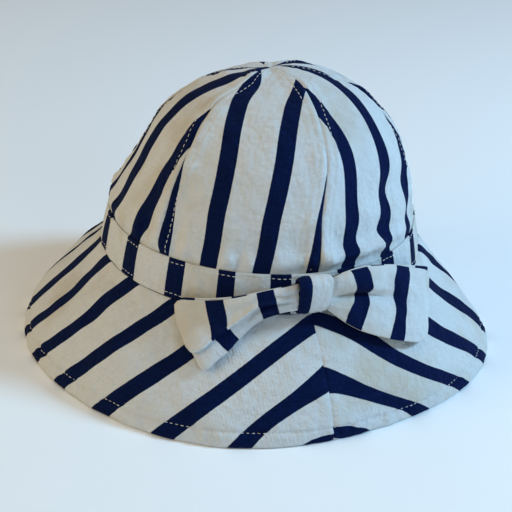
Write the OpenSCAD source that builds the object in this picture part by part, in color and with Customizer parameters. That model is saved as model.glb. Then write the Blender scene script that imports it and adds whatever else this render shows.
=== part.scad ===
// Soft striped sun hat with a gored crown, a bell-shaped brim and a flat bow.
// Millimetres, +Z up. The origin is on the table under the middle of the hat,
// the wearer faces -Y, and +X is the right-hand side seen from the front.

/* [Crown] */
// Radius of the outside of the hat band at its lower edge
head_r = 82.2; // [78:0.2:86]
// Height of the top of the crown above the table
crown_h = 140.6; // [132:0.2:150]
// How full the crown shoulder is, as a radius of the top control point
shoulder_r = 49; // [44:1:54]
// Number of straight steps in a gore's curved profile
crown_steps = 16; // [10:1:22]

/* [Hat band] */
// Height of the seam between brim and crown above the table
band_z = 49; // [44:0.5:54]
// Upright height of the hat band
band_h = 18.5; // [15:0.5:24]
// How much the band leans in over its height
band_lean = 3.6; // [2:0.2:6]

/* [Brim] */
// Radius of the brim's outer edge
brim_r = 119.6; // [112:0.2:126]
// Distance of the hem stitching from the brim's edge
hem_w = 7.5; // [5:0.5:10]

/* [Cloth] */
// Thickness of the striped cotton
cloth_t = 0.8; // [0.6:0.1:0.9]
// Thickness of the lining cotton
lining_t = 0.5; // [0.3:0.1:0.6]
// Thickness of the brim interlining
interlining_t = 0.5; // [0.3:0.1:0.6]
// Thickness of the folded band
band_t = 1; // [0.8:0.1:1.2]
// Width of the seam allowance pressed open inside each crown seam
allowance_w = 6; // [4:0.5:8]
// Radius of the sewing thread
thread_r = 0.22; // [0.15:0.01:0.25]
// Distance of the crown topstitching from the seam
stitch_gap = 4; // [3:0.5:5]

/* [Bow] */
// Width of the knot along the band
knot_w = 17; // [14:1:20]
// Height of the knot
knot_h = 17; // [14:1:18]
// Depth of the knot, front to back
knot_d = 8; // [6:0.5:9]
// Half the thickness of a bow loop
loop_r = 4; // [3:0.25:4]
// How far the bow sits to the left of the centre-front seam
bow_shift = 3.8; // [0:0.2:6]

/* [Hidden] */
$fn = 96;
navy = [0.05, 0.08, 0.18];
cream = [0.90, 0.88, 0.83];
gap = 0.1;                     // play between two layers of cloth

band_top = band_z + band_h;
under = band_t + gap;          // how far the gores lie inside the band's face
r_low = head_r - under;        // gore radius at the brim seam
r_top = head_r - band_lean - under;

// ---- curves ----
function bez(p, t) = p[0] * pow(1 - t, 3) + 3 * p[1] * t * pow(1 - t, 2)
                   + 3 * p[2] * t * t * (1 - t) + p[3] * pow(t, 3);
// Outside of the crown from the brim seam to the apex, as [radius, height]
crown_ctrl = [[r_top, band_top], [r_top - 8.5, band_top + 36.5], [shoulder_r, crown_h], [0, crown_h]];
crown_pts = concat([[r_low, band_z + 0.3]], [for (i = [0 : crown_steps]) bez(crown_ctrl, i / crown_steps)]);
// Outside of the brim from the band down to the edge
brim_w = brim_r - head_r;
brim_knots = [[0, 0], [0.11, 0.12], [0.39, 0.315], [0.675, 0.53], [0.89, 0.775], [0.978, 0.94], [1, 1]];
function spline(k, n) = let (m = len(k) - 1) [for (i = [0 : m - 1]) for (j = [0 : n - 1])
    let (t = j / n, a = k[max(i - 1, 0)], b = k[i], c = k[i + 1], d = k[min(i + 2, m)])
    0.5 * (2 * b + (c - a) * t + (2 * a - 5 * b + 4 * c - d) * t * t + (3 * b - a - 3 * c + d) * pow(t, 3))];
brim_pts = [for (q = concat(spline(brim_knots, 3), [[1, 1]]))
    [head_r - gap + (brim_w + gap) * q[0], (band_z - 0.2) * (1 - q[1])]];
// Unit normal of a profile at point i, on the side away from the head
function dirn(v) = v / norm(v);
function nrm(p, i) = let (m = len(p) - 1, v = dirn(p[min(i + 1, m)] - p[max(i - 1, 0)])) [v[1], -v[0]];
// A profile moved inwards by d. The apex stays on the axis.
function inset(p, d) = [for (i = [0 : len(p) - 1])
    let (q = p[i] - d * nrm(p, i)) p[i][0] < 0.01 ? [0, p[i][1] - d] : [max(q[0], 0), q[1]]];
// The brim's normal points the other way, since its profile runs downwards.
function sunk(p, d) = [for (i = [0 : len(p) - 1]) p[i] + d * nrm(p, i)];
// A layer of the brim cut level at floor_z
function drop(p, d, floor_z) = let (q = sunk(p, d))
    concat([for (v = q) if (v[1] > floor_z + 0.4) v], [[radius_at(rev(q), floor_z), floor_z]]);
function radius_at(p, z) = lookup(z, [for (q = p) [q[1], q[0]]]);
function rev(p) = [for (i = [len(p) - 1 : -1 : 0]) p[i]];

// ---- building blocks ----
// One sixth of a shell between two depths under the crown's outside
module gore_shell(k, d0, d1) {
    rotate([0, 0, 60 * k - 90])
        rotate_extrude(angle = 60)
            polygon(concat(inset(crown_pts, d0), rev(inset(crown_pts, d1))));
}
// Seam allowance along the edge of a gore: side 0 starts it, side 1 ends it
module allowance(k, side) {
    low = [for (q = crown_pts) if (q[0] > 14) q];
    intersection() {
        rotate([0, 0, 60 * k - 90])
            rotate_extrude(angle = 60)
                polygon(concat(inset(low, cloth_t - 0.02), rev(inset(low, 2 * cloth_t))));
        rotate([0, 0, 60 * k - 90 + 60 * side])
            translate([0, side == 0 ? -2 : -allowance_w, 0])
                cube([head_r + 10, allowance_w + 2, crown_h + 5]);
    }
}
module crown_gore(k) {
    union() {
        gore_shell(k, 0, cloth_t);
        allowance(k, 0);
        allowance(k, 1);
    }
}
lining_d = 2 * cloth_t + 0.2;
module lining_gore(k) gore_shell(k, lining_d, lining_d + lining_t);

// One half of a brim layer between two depths, k = 0 on the right side, 1 on the left
module brim_half(k, d0, d1, z0) {
    rotate([0, 0, k == 0 ? -90 : 90])
        rotate_extrude(angle = 180)
            polygon(concat(drop(brim_pts, d0, z0), rev(drop(brim_pts, d1, z0))));
}
// The upper brim turns round the edge into a narrow flat hem that meets the table.
module brim_upper(k) {
    union() {
        brim_half(k, 0, cloth_t, 0);
        rotate([0, 0, k == 0 ? -90 : 90])
            rotate_extrude(angle = 180)
                polygon([[brim_r - 3, 0], [brim_r - 0.3, 0], [brim_r - 0.3, cloth_t], [brim_r - 3, cloth_t]]);
    }
}
under_z = cloth_t + 0.2;
module brim_under(k) brim_half(k, cloth_t + interlining_t + 2 * gap, 2 * cloth_t + interlining_t + 2 * gap, under_z);

// ---- crown ----
module crown_gore_front_right() color(cream) crown_gore(0);
module crown_gore_right() color(navy) crown_gore(1);
module crown_gore_back_right() color(cream) crown_gore(2);
module crown_gore_back_left() color(navy) crown_gore(3);
module crown_gore_left() color(cream) crown_gore(4);
module crown_gore_front_left() color(navy) crown_gore(5);
module lining_gore_front_right() color("white") lining_gore(0);
module lining_gore_right() color("white") lining_gore(1);
module lining_gore_back_right() color("white") lining_gore(2);
module lining_gore_back_left() color("white") lining_gore(3);
module lining_gore_left() color("white") lining_gore(4);
module lining_gore_front_left() color("white") lining_gore(5);

// ---- band and sweatband ----
band_out = [[head_r, band_z], [head_r - band_lean / 2, band_z + band_h / 2], [head_r - band_lean, band_top]];
module hat_band() color(navy)
    rotate_extrude()
        polygon(concat(band_out, rev(inset(band_out, band_t))));
sweat_d = lining_d + lining_t + 0.1;
sweat_line = concat([[r_low, band_z - 0.5]], [for (q = crown_pts) if (q[1] > band_z + 1 && q[1] < band_top + 8) q]);
module sweatband() color("white")
    rotate_extrude()
        polygon(concat(inset(sweat_line, sweat_d), rev(inset(sweat_line, sweat_d + cloth_t))));
// Blank label on the inside of the sweatband, at the back
label_r = radius_at(crown_pts, band_z + 5) - sweat_d - cloth_t - 0.5;
module size_label() color("white")
    rotate([0, 0, 84])
        rotate_extrude(angle = 12)
            polygon([[label_r - 0.3, band_z + 4], [label_r, band_z + 4],
                     [label_r - 2, band_z + 14], [label_r - 2.3, band_z + 14]]);

// ---- brim ----
module brim_upper_right() color(cream) brim_upper(0);
module brim_upper_left() color(navy) brim_upper(1);
module brim_under_right() color("white") brim_under(0);
module brim_under_left() color("white") brim_under(1);
inter_pts = [for (q = brim_pts) if (q[1] > 3) q];
module brim_interlining() color("gainsboro")
    rotate_extrude()
        polygon(concat(sunk(inter_pts, cloth_t + gap),
                       rev(sunk(inter_pts, cloth_t + gap + interlining_t))));

// ---- bow ----
// The knot is a strip wrapped round the pinched middle of the bow, tunnel along X.
module rounded(w, h, r) {
    square([w - 2 * r, h], center = true);
    square([w, h - 2 * r], center = true);
    for (x = [-1, 1], y = [-1, 1]) translate([x * (w / 2 - r), y * (h / 2 - r)]) circle(r = r);
}
knot_z = band_z + 10.3;
knot_lean = atan(band_lean / band_h);
knot_y = -(head_r - band_lean * (knot_z - band_z) / band_h + 0.9 + knot_d / 2);
module at_knot() translate([-bow_shift, knot_y, knot_z]) rotate([-knot_lean, 0, 0]) children();
module bow_knot() color(cream)
    at_knot() rotate([0, 90, 0]) rotate([0, 0, 90])
        linear_extrude(height = knot_w, center = true) difference() {
            rounded(knot_d, knot_h, 3);
            rounded(knot_d - 2.2, knot_h - 2.2, 2);
        }
module bow_middle() color(navy)
    at_knot() rotate([0, 90, 0]) rotate([0, 0, 90])
        linear_extrude(height = knot_w - 1, center = true) rounded(knot_d - 2.6, knot_h - 2.6, 1.8);
// A loop is a flattened tube of cloth that swings on the upright line at its pinched end.
left_x = -bow_shift - knot_w / 2 - loop_r - 0.5;
right_x = -bow_shift + knot_w / 2 + loop_r + 0.5;
left_y = -(head_r + 4.2);
right_y = -(head_r + 4.6);
module loop_part(a, b, c, d) hull() for (q = [a, b, c, d]) translate(q) sphere(r = loop_r, $fn = 28);
module bow_left_loop() color(cream) {
    a0 = [left_x, left_y, band_z + 12.5]; b0 = [left_x, left_y, band_z + 5];
    a1 = [-40, -77, band_z + 8.5];        b1 = [-38, -87.5, band_z - 5.5];
    a2 = [-60, -65, band_z + 1.5];        b2 = [-55.5, -89.5, band_z - 15.5];
    union() {
        loop_part(a0, b0, a1, b1);
        loop_part(a1, b1, a2, b2);
    }
}
module bow_right_loop() color(cream) {
    a0 = [right_x, right_y, band_z + 14]; b0 = [right_x, right_y, band_z + 5];
    a1 = [35, -82, band_z + 16];          b1 = [34, -93, band_z - 8.5];
    a2 = [59, -72, band_z + 9];           b2 = [53, -91, band_z - 12.5];
    union() {
        loop_part(a0, b0, a1, b1);
        loop_part(a1, b1, a2, b2);
    }
}
// Four short stitches between the band and the back of the knot
module bow_tack_stitches() color("white")
    at_knot() for (x = [-3, 3], z = [-4, 4])
        translate([x, knot_d / 2 + 0.05, z]) rotate([-90, 0, 0])
            cylinder(r = 0.3, h = 0.5, $fn = 16);

// ---- stitching ----
// A straight run of topstitching down one side of a crown seam
stitch_pts = [for (q = crown_pts) if (q[0] > 9 && q[1] > band_top - 0.1) q];
module stitch_line(k, side) {
    n = 6;
    lift = thread_r + 0.08;
    out = inset(stitch_pts, -lift);
    line = [for (q = out) [side * stitch_gap, -sqrt(pow(q[0], 2) - pow(stitch_gap, 2)), max(q[1], band_top + 0.6)]];
    m = len(line);
    pts = [for (i = [0 : m - 1]) for (j = [0 : n - 1])
        let (v = dirn(line[min(i + 1, m - 1)] - line[max(i - 1, 0)]), w = dirn(cross(v, [1, 0, 0])))
        line[i] + thread_r * (cos(360 * j / n) * [1, 0, 0] + sin(360 * j / n) * w)];
    faces = concat([[for (j = [0 : n - 1]) j]], [[for (j = [n - 1 : -1 : 0]) (m - 1) * n + j]],
        [for (i = [0 : m - 2]) for (j = [0 : n - 1])
            [i * n + j, (i + 1) * n + j, (i + 1) * n + (j + 1) % n, i * n + (j + 1) % n]]);
    rotate([0, 0, 60 * k]) polyhedron(points = pts, faces = faces, convexity = 4);
}
module crown_topstitch() color("white")
    for (k = [0 : 5], side = [-1, 1]) stitch_line(k, side);
module ring_stitch(r, z) rotate_extrude() translate([r, z]) circle(r = thread_r, $fn = 16);
module band_topstitch() color("white")
    for (z = [2, band_h - 2])
        ring_stitch(head_r - band_lean * z / band_h + thread_r + 0.05, band_z + z);
// The hem stitching lies a fixed distance up the brim from its edge.
hem_i = [for (i = [0 : len(brim_pts) - 1]) if (norm(brim_pts[i] - brim_pts[len(brim_pts) - 1]) > hem_w) i];
hem_p = brim_pts[hem_i[len(hem_i) - 1]] - (thread_r + 0.08) * nrm(brim_pts, hem_i[len(hem_i) - 1]);
module brim_topstitch() color("white") ring_stitch(hem_p[0], hem_p[1]);

crown_gore_front_left();
crown_gore_left();
crown_gore_back_left();
crown_gore_back_right();
crown_gore_right();
crown_gore_front_right();
lining_gore_front_left();
lining_gore_left();
lining_gore_back_left();
lining_gore_back_right();
lining_gore_right();
lining_gore_front_right();
hat_band();
sweatband();
size_label();
brim_upper_left();
brim_upper_right();
brim_under_left();
brim_under_right();
brim_interlining();
bow_knot();
bow_middle();
bow_left_loop();
bow_right_loop();
crown_topstitch();
band_topstitch();
brim_topstitch();
bow_tack_stitches();
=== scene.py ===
"""Soft striped sun hat: the visual model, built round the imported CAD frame.

Everything is worked out in millimetres and written to the meshes in metres. An angle of 0 is
the wearer's front (-Y) and it grows towards +X. A crown or brim point is an angle and a
fraction of the way along the profile, moved off the plain profile by a smooth offset field.
"""
import math
import bpy
import numpy as np
from numpy.polynomial import chebyshev as ch
from mathutils import Matrix, Vector


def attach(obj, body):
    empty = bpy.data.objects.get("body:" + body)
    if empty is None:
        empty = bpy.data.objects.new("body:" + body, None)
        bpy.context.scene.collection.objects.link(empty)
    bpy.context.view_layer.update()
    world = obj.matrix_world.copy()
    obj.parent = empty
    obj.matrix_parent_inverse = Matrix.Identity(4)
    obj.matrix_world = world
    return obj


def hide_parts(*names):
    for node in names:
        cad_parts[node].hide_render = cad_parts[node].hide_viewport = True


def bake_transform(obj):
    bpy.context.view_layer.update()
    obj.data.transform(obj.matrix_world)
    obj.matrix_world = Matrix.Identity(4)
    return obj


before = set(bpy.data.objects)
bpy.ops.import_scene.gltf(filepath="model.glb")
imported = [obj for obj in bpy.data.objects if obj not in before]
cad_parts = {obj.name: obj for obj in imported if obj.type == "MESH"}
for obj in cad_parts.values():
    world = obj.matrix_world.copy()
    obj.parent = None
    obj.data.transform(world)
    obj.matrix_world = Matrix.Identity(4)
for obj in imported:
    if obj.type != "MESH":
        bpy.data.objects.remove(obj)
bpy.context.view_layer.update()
MM = 0.001
ROOT = "hat"
PITCH = 24.8        # stripe repeat
NAVY_W = 8.2        # width of a navy stripe
STITCH = 2.6        # length of one stitch and its gap

# ---------------------------------------------------------------- camera, stage and lights
CAM = Vector((-0.18819, -0.50426, 0.30784))
AZ, EL, ROLL = math.radians(-20.30), math.radians(26.69), math.radians(3.33)


def camera():
    back = Vector((math.sin(AZ) * math.cos(EL), -math.cos(AZ) * math.cos(EL), math.sin(EL)))
    side = Vector((math.cos(AZ), math.sin(AZ), 0))
    up = back.cross(side)
    r2 = math.cos(ROLL) * side + math.sin(ROLL) * up
    u2 = -math.sin(ROLL) * side + math.cos(ROLL) * up
    data = bpy.data.cameras.new("camera")
    data.sensor_width = 36
    data.lens = 1142.45 / 512 * 36
    data.clip_start, data.clip_end = 0.01, 20
    o = bpy.data.objects.new("camera", data)
    m = Matrix((r2, u2, back)).transposed().to_4x4()
    m.translation = CAM
    o.matrix_world = m
    bpy.context.scene.collection.objects.link(o)
    bpy.context.scene.camera = o


def lamp(name, loc, target, size, power, colour):
    data = bpy.data.lights.new(name, "AREA")
    data.shape = "DISK"
    data.size = size
    data.energy = power
    data.color = colour
    o = bpy.data.objects.new(name, data)
    o.location = loc
    d = Vector(target) - Vector(loc)
    o.rotation_euler = d.to_track_quat("-Z", "Y").to_euler()
    bpy.context.scene.collection.objects.link(o)


# ---------------------------------------------------------------- small mesh tools
def link(name, verts, faces, uvs=None, mat=None, smooth=True, extra=None):
    """A mesh object from points in mm, faces, and one UV in metres per face corner."""
    name = name if name == "floor" else name + "_sewn"
    me = bpy.data.meshes.new(name)
    me.from_pydata((np.asarray(verts, float) * MM).tolist(), [], [list(map(int, f)) for f in faces])
    if uvs is not None:
        lay = me.uv_layers.new(name="cloth")
        lay.data.foreach_set("uv", (np.asarray(uvs, float) * MM).ravel())
    if smooth:
        me.polygons.foreach_set("use_smooth", [True] * len(me.polygons))
    me.update()
    o = bpy.data.objects.new(name, me)
    bpy.context.scene.collection.objects.link(o)
    if mat:
        me.materials.append(mat)
    return o


def normals(P, wrap_i=False):
    """Unit normals of a grid of points, i x j x 3."""
    if wrap_i:
        di = np.roll(P, -1, 0) - np.roll(P, 1, 0)
    else:
        di = np.gradient(P, axis=0)
    dj = np.gradient(P, axis=1)
    n = np.cross(di, dj)
    ln = np.linalg.norm(n, axis=-1, keepdims=True)
    bad = ln[..., 0] < 1e-9
    n = n / np.maximum(ln, 1e-9)
    if bad.any():
        n[bad] = (0, 0, 1)
    return n


def shell(name, top, low, uv, mat, wrap_i=False, wrap_j=False):
    """A closed shell between an outer and an inner grid. uv is i x j x 2, with one extra
    column or row where that direction wraps."""
    ni, nj = top.shape[:2]
    V = np.concatenate([top.reshape(-1, 3), low.reshape(-1, 3)])
    off = ni * nj
    idx = lambda i, j: (i % ni) * nj + (j % nj)
    F, U = [], []
    ci = ni if wrap_i else ni - 1
    cj = nj if wrap_j else nj - 1
    for i in range(ci):
        for j in range(cj):
            q = [(i, j), (i + 1, j), (i + 1, j + 1), (i, j + 1)]
            F.append([idx(*a) for a in q]); U += [uv[a] for a in q]
            F.append([off + idx(*a) for a in q[::-1]]); U += [uv[a] for a in q[::-1]]
    if not wrap_i:
        for j in range(cj):
            for i, s in ((0, 1), (ni - 1, -1)):
                q = [(i, j), (i, j + 1)][::s]
                F.append([idx(*q[0]), idx(*q[1]), off + idx(*q[1]), off + idx(*q[0])])
                U += [uv[q[0]], uv[q[1]], uv[q[1]], uv[q[0]]]
    if not wrap_j:
        for i in range(ci):
            for j, s in ((0, -1), (nj - 1, 1)):
                q = [(i, j), (i + 1, j)][::s]
                F.append([idx(*q[0]), idx(*q[1]), off + idx(*q[1]), off + idx(*q[0])])
                U += [uv[q[0]], uv[q[1]], uv[q[1]], uv[q[0]]]
    return link(name, V, F, np.array(U), mat)


def tube_grid(name, P, uv, mat, wrap_i=True, caps=False):
    """A closed surface from a grid that wraps along j, and along i when wrap_i is set."""
    ni, nj = P.shape[:2]
    idx = lambda i, j: (i % ni) * nj + (j % nj)
    F, U = [], []
    for i in range(ni if wrap_i else ni - 1):
        for j in range(nj):
            q = [(i, j), (i + 1, j), (i + 1, j + 1), (i, j + 1)]
            F.append([idx(*a) for a in q]); U += [uv[a] for a in q]
    if caps and not wrap_i:
        F.append([idx(0, j) for j in range(nj)]); U += [uv[0, j] for j in range(nj)]
        F.append([idx(ni - 1, j) for j in range(nj - 1, -1, -1)]); U += [uv[ni - 1, j] for j in range(nj - 1, -1, -1)]
    return link(name, P.reshape(-1, 3), F, np.array(U), mat)


def smooth01(x, a, b):
    x = np.clip((np.asarray(x, float) - a) / (b - a), 0, 1)
    return x * x * (3 - 2 * x)


class Waves:
    """Smooth noise: a fixed, seeded sum of plane waves. Returns about -1 to 1."""
    def __init__(self, seed, n, lo, hi, dims=2):
        g = np.random.default_rng(seed)
        d = g.normal(size=(n, dims)); d /= np.linalg.norm(d, axis=1)[:, None]
        self.k = d * (2 * np.pi / g.uniform(lo, hi, n))[:, None]
        self.p = g.uniform(0, 2 * np.pi, n)
        self.a = g.uniform(.5, 1, n); self.a /= np.sqrt((self.a ** 2).sum() / 2) * 1.6

    def __call__(self, *x):
        q = 0
        for k, p, a in zip(self.k, self.p, self.a):
            q = q + a * np.sin(sum(kk * xx for kk, xx in zip(k, x)) + p)
        return q


def stitches(name, paths, mat, length=2.1, radius=0.16, pitch=STITCH, sink=0.05, seed=1):
    """Separate stitches along paths of (points, normals): each is a short thread that dips into the cloth at both ends."""
    g = np.random.default_rng(seed)
    V, F, U = [], [], []
    for pts, nor in paths:
        seg = np.linalg.norm(np.diff(pts, axis=0), axis=1)
        s = np.concatenate([[0], np.cumsum(seg)])
        m = int(s[-1] // pitch)
        if m < 1:
            continue
        for k in range(m):
            c = (k + .5) * s[-1] / m
            ln = length * g.uniform(.9, 1.06)
            q = np.linspace(c - ln / 2, c + ln / 2, 5)
            P = np.stack([np.interp(q, s, pts[:, i]) for i in range(3)], 1)
            N = np.stack([np.interp(q, s, nor[:, i]) for i in range(3)], 1)
            N /= np.linalg.norm(N, axis=1)[:, None]
            T = P[-1] - P[0]; T /= np.linalg.norm(T)
            B = np.cross(T, N[2]); B /= np.linalg.norm(B)
            P = P + B * g.uniform(-.05, .05)
            lift = np.array([-.16, .06, .12, .06, -.16]) - sink
            rad = radius * np.array([.62, .98, 1.0, .98, .62])
            b0 = len(V)
            for i in range(5):
                for a in np.arange(6) * np.pi / 3:
                    V.append(P[i] + N[i] * (lift[i] + rad[i] * math.sin(a)) + B * rad[i] * math.cos(a) * 1.15)
            for i in range(4):
                for j in range(6):
                    F.append([b0 + i * 6 + j, b0 + i * 6 + (j + 1) % 6, b0 + (i + 1) * 6 + (j + 1) % 6, b0 + (i + 1) * 6 + j])
                    U += [(j * .2, q[i]), (j * .2 + .2, q[i]), (j * .2 + .2, q[i + 1]), (j * .2, q[i + 1])]
            F.append([b0 + j for j in range(5, -1, -1)]); U += [(0, 0)] * 6
            F.append([b0 + 24 + j for j in range(6)]); U += [(0, 0)] * 6
    return link(name, V, F, np.array(U), mat)


# ---------------------------------------------------------------- materials
class Nodes:
    def __init__(self, name, **settings):
        self.m = bpy.data.materials.new(name)
        self.m.use_nodes = True
        self.t = self.m.node_tree
        self.b = self.t.nodes["Principled BSDF"]
        for k, v in settings.items():
            self.b.inputs[k.replace("_", " ")].default_value = v

    def node(self, kind, **kw):
        n = self.t.nodes.new(kind)
        for k, v in kw.items():
            setattr(n, k, v)
        return n

    def put(self, socket, value):
        if hasattr(value, "is_linked"):
            self.t.links.new(value, socket)
        else:
            socket.default_value = value

    def math(self, op, a, b=0.0, c=None, clamp=False):
        n = self.node("ShaderNodeMath", operation=op, use_clamp=clamp)
        self.put(n.inputs[0], a); self.put(n.inputs[1], b)
        if c is not None:
            self.put(n.inputs[2], c)
        return n.outputs[0]

    def mix(self, f, a, b, kind="MIX"):
        n = self.node("ShaderNodeMix", data_type="RGBA", blend_type=kind)
        self.put(n.inputs[0], f)
        self.put(n.inputs[6], a if hasattr(a, "is_linked") else (*a, 1))
        self.put(n.inputs[7], b if hasattr(b, "is_linked") else (*b, 1))
        return n.outputs[2]

    def uv(self):
        n = self.node("ShaderNodeUVMap", uv_map="cloth")
        s = self.node("ShaderNodeSeparateXYZ")
        self.t.links.new(n.outputs[0], s.inputs[0])
        return n.outputs[0], s.outputs[0], s.outputs[1]

    def noise(self, vec, scale, detail=2.0, rough=.5, stretch=None):
        if stretch:
            mp = self.node("ShaderNodeMapping")
            mp.inputs["Scale"].default_value = stretch
            self.t.links.new(vec, mp.inputs["Vector"])
            vec = mp.outputs[0]
        n = self.node("ShaderNodeTexNoise")
        n.inputs["Scale"].default_value = scale
        n.inputs["Detail"].default_value = detail
        n.inputs["Roughness"].default_value = rough
        self.t.links.new(vec, n.inputs["Vector"])
        return n.outputs[0]

    def ramp(self, x, lo, hi, a=0.0, b=1.0):
        n = self.node("ShaderNodeMapRange", interpolation_type="SMOOTHSTEP")
        self.put(n.inputs["Value"], x)
        n.inputs["From Min"].default_value, n.inputs["From Max"].default_value = lo, hi
        n.inputs["To Min"].default_value, n.inputs["To Max"].default_value = a, b
        return n.outputs[0]


def cloth(name, stripes=True, thread=0.00056, light=(.665, .665, .655), shade_and_tint_patches=.8):
    """Plain-woven cotton. The pattern follows the cloth's own coordinates, in metres."""
    k = Nodes(name, Roughness=.94, Sheen_Weight=.02, Sheen_Roughness=.5, Specular_IOR_Level=.04)
    vec, u, v = k.uv()
    obj = k.node("ShaderNodeTexCoord").outputs["Object"]
    # weave: the warp runs along v and the weft along u, one over the other in turn
    w = 2 * math.pi / (2 * thread)
    su = k.math("SINE", k.math("MULTIPLY", u, w)); sv = k.math("SINE", k.math("MULTIPLY", v, w))
    over = k.math("MULTIPLY_ADD", k.math("MULTIPLY", su, sv), .5, .5)
    slub_v = k.noise(vec, 1.0, 2, .6, (1150, 90, 1))
    slub_u = k.noise(vec, 1.0, 2, .6, (90, 1150, 1))
    slub = k.math("MULTIPLY", k.math("ADD", slub_u, slub_v), .5)
    fleck = k.noise(vec, 1.0, 3, .7, (620, 620, 1))
    # pale yarn: cream, with browner patches of painted shade scattered at random and a little bluer in others
    patch = k.noise(obj, 26, 3, .55)
    patch2 = k.noise(obj, 61, 2, .5)
    # browner patches: painted shade, scattered at random over the cloth
    pale = k.mix(k.math("MULTIPLY", k.ramp(patch, .50, .72), shade_and_tint_patches), light, (.53, .455, .33))
    pale = k.mix(k.math("MULTIPLY", k.ramp(patch2, .52, .74), .45 * shade_and_tint_patches), pale, (.62, .65, .70))
    pale = k.mix(k.math("MULTIPLY", k.ramp(slub, .36, .64), .40), pale, tuple(c * .84 for c in light))
    pale = k.mix(k.math("MULTIPLY", k.ramp(fleck, .40, .66), .30), pale, tuple(c * .80 for c in light))
    pale = k.mix(k.math("MULTIPLY", k.math("SUBTRACT", 1.0, over), .12), pale, tuple(c * .70 for c in light))
    col = pale
    if stripes:
        wob = k.math("MULTIPLY", k.math("SUBTRACT", k.noise(vec, 1.0, 1, .5, (60, 700, 1)), .5), .00022)
        f = k.math("FRACT", k.math("ADD", k.math("DIVIDE", k.math("ADD", u, wob), PITCH * MM), .5))
        e = k.math("MULTIPLY", k.math("ABSOLUTE", k.math("SUBTRACT", f, .5)), PITCH * MM)
        navy = k.ramp(e, (NAVY_W / 2 + .16) * MM, (NAVY_W / 2 - .16) * MM)
        deep = k.mix(k.ramp(slub, .36, .66), (.0010, .0046, .030), (.0028, .0092, .052))
        deep = k.mix(k.math("MULTIPLY", k.ramp(fleck, .56, .78), .35), deep, (.011, .022, .066))
        deep = k.mix(k.math("MULTIPLY", over, .30), deep, (.004, .013, .058))
        col = k.mix(navy, pale, deep)
    k.put(k.b.inputs["Base Color"], col)
    bump = k.node("ShaderNodeBump")
    bump.inputs["Strength"].default_value = .5
    bump.inputs["Distance"].default_value = .00022
    k.put(bump.inputs["Height"], k.math("MULTIPLY_ADD", slub, 1.3, over))
    fuzz = k.node("ShaderNodeBump")
    fuzz.inputs["Strength"].default_value = .5
    fuzz.inputs["Distance"].default_value = .0024
    k.put(fuzz.inputs["Height"], k.math("MULTIPLY_ADD", k.noise(obj, 95, 2, .5), 1.6, k.noise(obj, 270, 3, .6)))
    k.t.links.new(fuzz.outputs[0], bump.inputs["Normal"])
    k.t.links.new(bump.outputs[0], k.b.inputs["Normal"])
    k.put(k.b.inputs["Roughness"], k.ramp(slub, .3, .7, .86, .97))
    return k.m


def thread_mat():
    k = Nodes("sewing_thread", Roughness=.7, Sheen_Weight=.2, Specular_IOR_Level=.35)
    vec, u, v = k.uv()
    tw = k.math("SINE", k.math("ADD", k.math("MULTIPLY", v, 2 * math.pi / .00045), k.math("MULTIPLY", u, 2 * math.pi / .0006)))
    tw = k.math("MULTIPLY_ADD", tw, .5, .5)
    k.put(k.b.inputs["Base Color"], k.mix(tw, (.62, .585, .51), (.84, .81, .74)))
    bump = k.node("ShaderNodeBump"); bump.inputs["Strength"].default_value = .5; bump.inputs["Distance"].default_value = .0001
    k.put(bump.inputs["Height"], tw); k.t.links.new(bump.outputs[0], k.b.inputs["Normal"])
    return k.m


def felt_mat():
    k = Nodes("interlining", Roughness=.95)
    obj = k.node("ShaderNodeTexCoord").outputs["Object"]
    a = k.noise(obj, 900, 4, .7); b = k.noise(obj, 240, 3, .6)
    k.put(k.b.inputs["Base Color"], k.mix(a, (.58, .58, .56), (.80, .80, .78)))
    bump = k.node("ShaderNodeBump"); bump.inputs["Strength"].default_value = .6; bump.inputs["Distance"].default_value = .0002
    k.put(bump.inputs["Height"], k.math("ADD", a, b)); k.t.links.new(bump.outputs[0], k.b.inputs["Normal"])
    return k.m


def label_mat():
    k = Nodes("label_tape", Roughness=.55, Sheen_Weight=.25, Specular_IOR_Level=.4)
    vec, u, v = k.uv()
    rib = k.math("MULTIPLY_ADD", k.math("SINE", k.math("MULTIPLY", v, 2 * math.pi / .0004)), .5, .5)
    n = k.noise(vec, 1.0, 2, .5, (1500, 200, 1))
    k.put(k.b.inputs["Base Color"], k.mix(k.math("MULTIPLY", k.math("ADD", rib, n), .5), (.74, .74, .72), (.88, .88, .86)))
    bump = k.node("ShaderNodeBump"); bump.inputs["Strength"].default_value = .4; bump.inputs["Distance"].default_value = .00012
    k.put(bump.inputs["Height"], rib); k.t.links.new(bump.outputs[0], k.b.inputs["Normal"])
    return k.m


def floor_mat():
    k = Nodes("floor", Roughness=.85, Specular_IOR_Level=.2)
    obj = k.node("ShaderNodeTexCoord").outputs["Object"]
    n = k.noise(obj, 3.0, 3, .5)
    k.put(k.b.inputs["Base Color"], k.mix(n, (.90, .90, .90), (.93, .93, .93)))
    return k.m


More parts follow.
